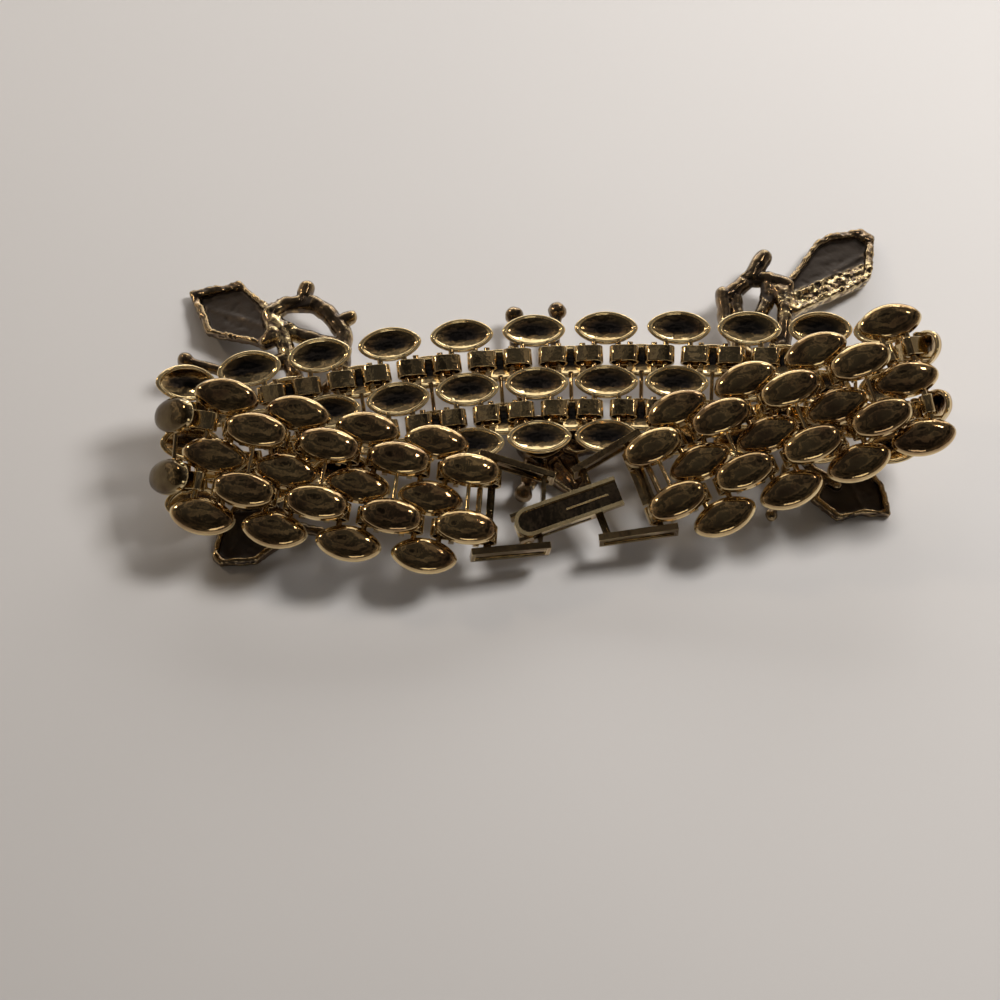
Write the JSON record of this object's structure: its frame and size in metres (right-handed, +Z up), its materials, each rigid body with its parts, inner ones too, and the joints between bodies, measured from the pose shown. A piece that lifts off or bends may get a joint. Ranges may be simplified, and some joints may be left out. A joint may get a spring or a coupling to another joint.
{
  "type": "link bracelet",
  "caption": "Wide dark-gold link bracelet of cupped marquise and oval plates with cast leaf sprays and a fold-over clasp, lying face down, folded flat.",
  "frame": {"origin": "centre of the bottom of the whole object's box, on the table", "axes": "+X along the flattened bracelet to the right, +Y away from the clasp side, +Z up from the table"},
  "size_m": [0.0932, 0.052, 0.0171],
  "materials": {
    "plate_gold": "polished, dark antique gold",
    "ring_gold": "polished, dark antique gold",
    "cast_gold": "rough cast, blackened, with gold edges",
    "clasp_gold": "polished, dark antique gold"
  },
  "bodies": {
    "band": {"double_link_1": "plate_gold", "triple_link_2": "plate_gold", "double_link_3": "plate_gold", "triple_link_4": "plate_gold", "double_link_5": "plate_gold", "triple_link_6": "plate_gold", "double_link_7": "plate_gold", "triple_link_8": "plate_gold", "double_link_9": "plate_gold", "triple_link_10": "plate_gold", "double_link_11": "plate_gold", "triple_link_12": "plate_gold", "double_link_13": "plate_gold", "triple_link_14": "plate_gold", "double_link_15": "plate_gold", "triple_link_16": "plate_gold", "double_link_17": "plate_gold", "triple_link_18": "plate_gold", "double_link_19": "plate_gold", "triple_link_20": "plate_gold", "double_link_21": "plate_gold", "triple_link_22": "plate_gold", "double_link_23": "plate_gold", "triple_link_24": "plate_gold", "double_link_25": "plate_gold", "triple_link_26": "plate_gold", "double_link_27": "plate_gold", "triple_link_28": "plate_gold", "double_link_29": "plate_gold", "triple_link_30": "plate_gold", "double_link_31": "plate_gold", "triple_link_32": "plate_gold", "double_link_33": "plate_gold", "triple_link_34": "plate_gold", "double_link_35": "plate_gold", "triple_link_36": "plate_gold", "double_link_37": "plate_gold", "triple_link_38": "plate_gold", "double_link_39": "plate_gold", "rings_far_row": "ring_gold", "rings_near_row": "ring_gold", "left_spray": "cast_gold", "middle_spray": "cast_gold", "right_spray": "cast_gold", "left_clasp_frame": "clasp_gold", "right_clasp_frame": "clasp_gold", "clasp_base": "clasp_gold"},
    "lid": {"clasp_lid": "clasp_gold"}
  },
  "joints": [
    {"name": "clasp_lid_hinge", "type": "hinge", "parent": "band", "child": "lid", "pos_m": [-0.00338, -0.01956, 0.00411], "axis": [0.3348, -0.9295, -0.1549], "range_deg": [0, 90]}
  ]
}
